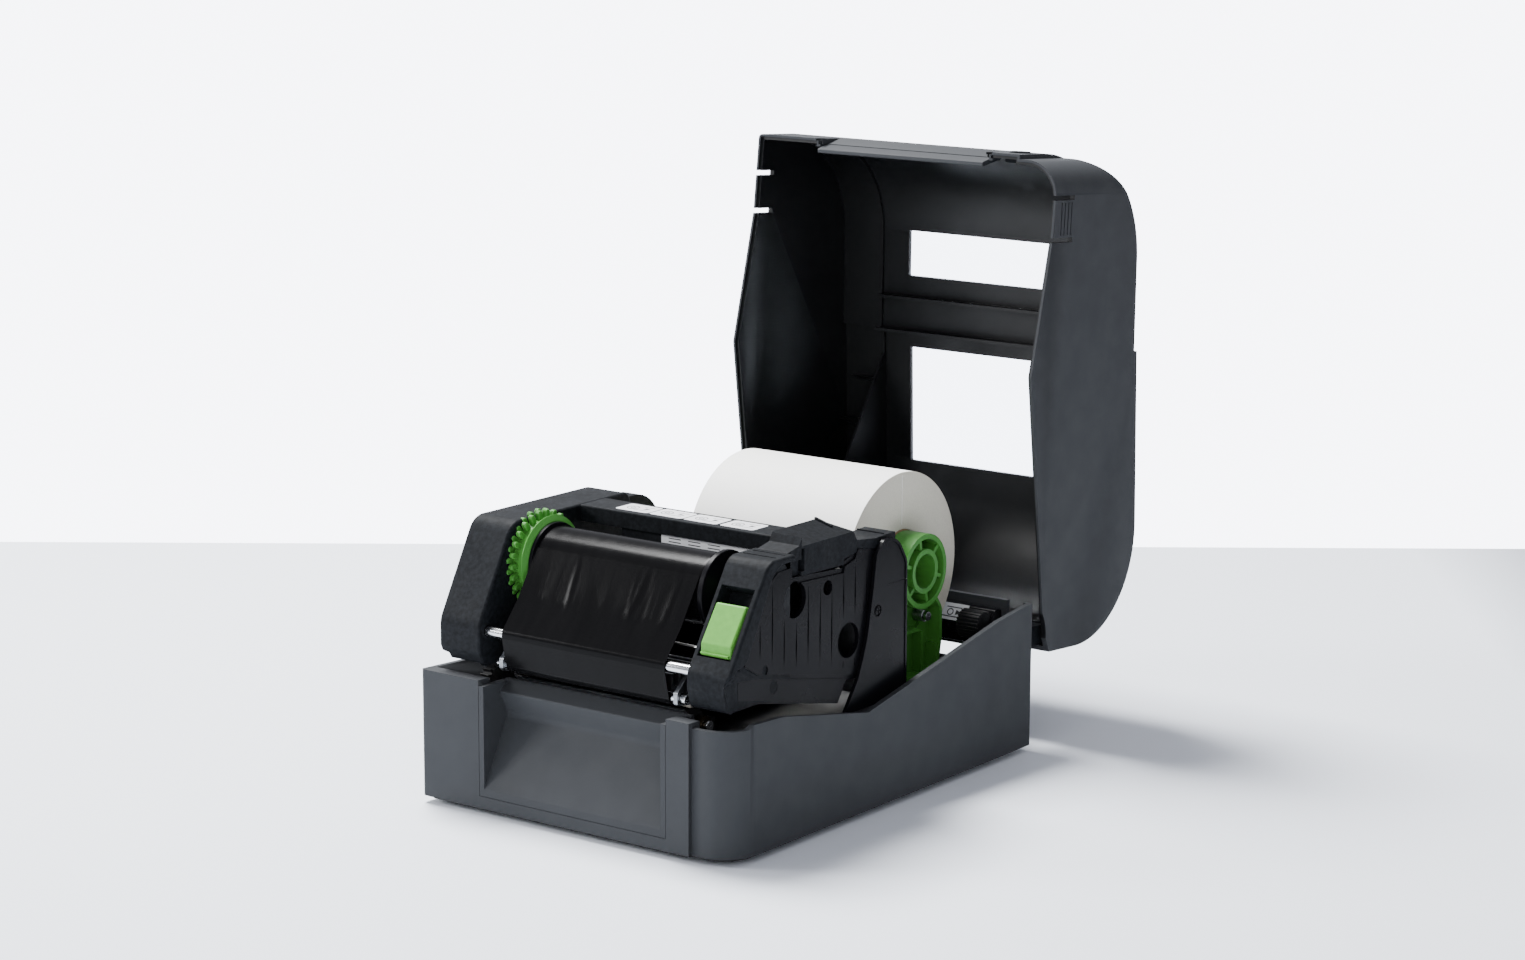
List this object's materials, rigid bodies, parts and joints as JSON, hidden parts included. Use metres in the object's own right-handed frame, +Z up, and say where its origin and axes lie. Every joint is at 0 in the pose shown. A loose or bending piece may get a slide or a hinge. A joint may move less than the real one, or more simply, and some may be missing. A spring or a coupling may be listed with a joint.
{
  "type": "label maker",
  "caption": "Desktop thermal-transfer label maker with an open tilting lid, a hinged ribbon frame and a 4-inch label roll.",
  "frame": {"origin": "middle of the bounding box at floor level, with the lid open", "axes": "+X to the right seen from the front, +Y towards the hinge at the back, +Z up"},
  "size_m": [0.204, 0.3882, 0.3339],
  "materials": {
    "casing_plastic": "satin",
    "frame_plastic": "fine grain",
    "gloss_black_plastic": "glossy",
    "deck_plastic": "matt",
    "green_plastic": "satin",
    "steel": "bright",
    "aluminium_sink": "satin",
    "bronze_bush": "satin",
    "motor_steel": "satin",
    "rubber": "matt",
    "label_paper": "matt",
    "core_board": "matt",
    "ribbon_film": "satin",
    "board_laminate": "satin",
    "head_ceramic": "smooth",
    "window_plastic": "clear"
  },
  "bodies": {
    "base": {"bottom_pan": "deck_plastic", "base_casing": "casing_plastic", "front_panel": "casing_plastic", "chassis_deck": "deck_plastic", "left_side_tower": "frame_plastic", "right_side_tower": "gloss_black_plastic", "foot_front_left": "rubber", "foot_front_right": "rubber", "foot_rear_left": "rubber", "foot_rear_right": "rubber", "tear_bar": "steel", "rear_guide_bar": "gloss_black_plastic", "circuit_board": "board_laminate", "power_inlet": "deck_plastic", "usb_port": "steel", "platen_bush_left": "bronze_bush", "platen_bush_right": "bronze_bush", "stepper_motor": "motor_steel", "label_strip": "label_paper", "gap_sensor": "gloss_black_plastic", "pivot_pin_left": "steel", "pivot_pin_right": "steel"},
    "switch": {"power_switch": "gloss_black_plastic"},
    "lid": {"lid_shell": "casing_plastic", "front_window": "window_plastic", "rear_window": "window_plastic", "hinge_arm_left": "frame_plastic", "hinge_arm_right": "frame_plastic"},
    "feed_key": {"feed_button": "frame_plastic"},
    "print_frame": {"left_cheek": "frame_plastic", "right_cheek": "frame_plastic", "side_cover": "gloss_black_plastic", "clutch_housing": "frame_plastic", "top_bar": "frame_plastic", "upper_ribbon_shaft": "steel", "lower_ribbon_shaft": "steel", "head_bracket": "steel", "print_head": "head_ceramic", "heatsink": "aluminium_sink", "ribbon_web": "ribbon_film"},
    "rewind_spool": {"rewind_gear": "green_plastic", "rewind_core": "core_board", "used_ribbon_roll": "ribbon_film", "rewind_flange": "gloss_black_plastic"},
    "supply_spool": {"supply_spindle": "green_plastic", "supply_core": "core_board", "fresh_ribbon_roll": "ribbon_film"},
    "latch": {"latch_button": "green_plastic"},
    "platen": {"platen_shaft": "steel", "platen_roller": "rubber", "platen_gear": "deck_plastic"},
    "idler": {"idler_gear": "deck_plastic"},
    "pinion": {"motor_pinion": "steel"},
    "media_roll": {"label_roll": "label_paper", "roll_core": "core_board"},
    "guide_right": {"media_guide_right": "green_plastic", "guide_screw": "steel", "guide_spring": "steel"},
    "guide_left": {"media_guide_left": "green_plastic"}
  },
  "joints": [
    {"name": "lid_hinge", "type": "hinge", "parent": "base", "child": "lid", "pos_m": [0, 0.0745, 0.064], "axis": [-1, 0, 0], "range_deg": [-94, 0]},
    {"name": "frame_hinge", "type": "hinge", "parent": "base", "child": "print_frame", "pos_m": [0, -0.0471, 0.104], "axis": [-1, 0, 0], "range_deg": [0, 55]},
    {"name": "latch_press", "type": "slide", "parent": "print_frame", "child": "latch", "axis": [0, 0.8802, -0.4746], "range_m": [0, 0.003], "stiffness_N_per_m": 600, "springref_m": -0.002},
    {"name": "rewind_spin", "type": "hinge", "parent": "print_frame", "child": "rewind_spool", "pos_m": [0, -0.1381, 0.1275], "axis": [1, 0, 0], "continuous": true},
    {"name": "supply_spin", "type": "hinge", "parent": "print_frame", "child": "supply_spool", "pos_m": [0, -0.0801, 0.097], "axis": [1, 0, 0], "continuous": true},
    {"name": "platen_spin", "type": "hinge", "parent": "base", "child": "platen", "pos_m": [0, -0.1601, 0.062], "axis": [1, 0, 0], "continuous": true},
    {"name": "idler_spin", "type": "hinge", "parent": "base", "child": "idler", "pos_m": [0, -0.13364, 0.05224], "axis": [1, 0, 0], "continuous": true},
    {"name": "pinion_spin", "type": "hinge", "parent": "base", "child": "pinion", "pos_m": [0, -0.1241, 0.03], "axis": [1, 0, 0], "continuous": true},
    {"name": "roll_spin", "type": "hinge", "parent": "base", "child": "media_roll", "pos_m": [0, 0.0254, 0.1097], "axis": [1, 0, 0], "continuous": true},
    {"name": "guide_right_slide", "type": "slide", "parent": "base", "child": "guide_right", "axis": [1, 0, 0], "range_m": [0, 0.0095]},
    {"name": "guide_left_slide", "type": "slide", "parent": "base", "child": "guide_left", "axis": [-1, 0, 0], "range_m": [0, 0.0095]},
    {"name": "feed_press", "type": "slide", "parent": "lid", "child": "feed_key", "axis": [0, -0.0698, -0.9976], "range_m": [0, 0.0012], "stiffness_N_per_m": 500, "springref_m": -0.001},
    {"name": "switch_rock", "type": "hinge", "parent": "base", "child": "switch", "pos_m": [0, 0.0817, 0.024], "axis": [1, 0, 0], "range_deg": [-7, 7]}
  ],
  "couplings": [
    {"joint": "idler_spin", "follows": "platen_spin", "ratio": -0.75},
    {"joint": "pinion_spin", "follows": "platen_spin", "ratio": 1.5},
    {"joint": "guide_left_slide", "follows": "guide_right_slide", "ratio": 1}
  ]
}
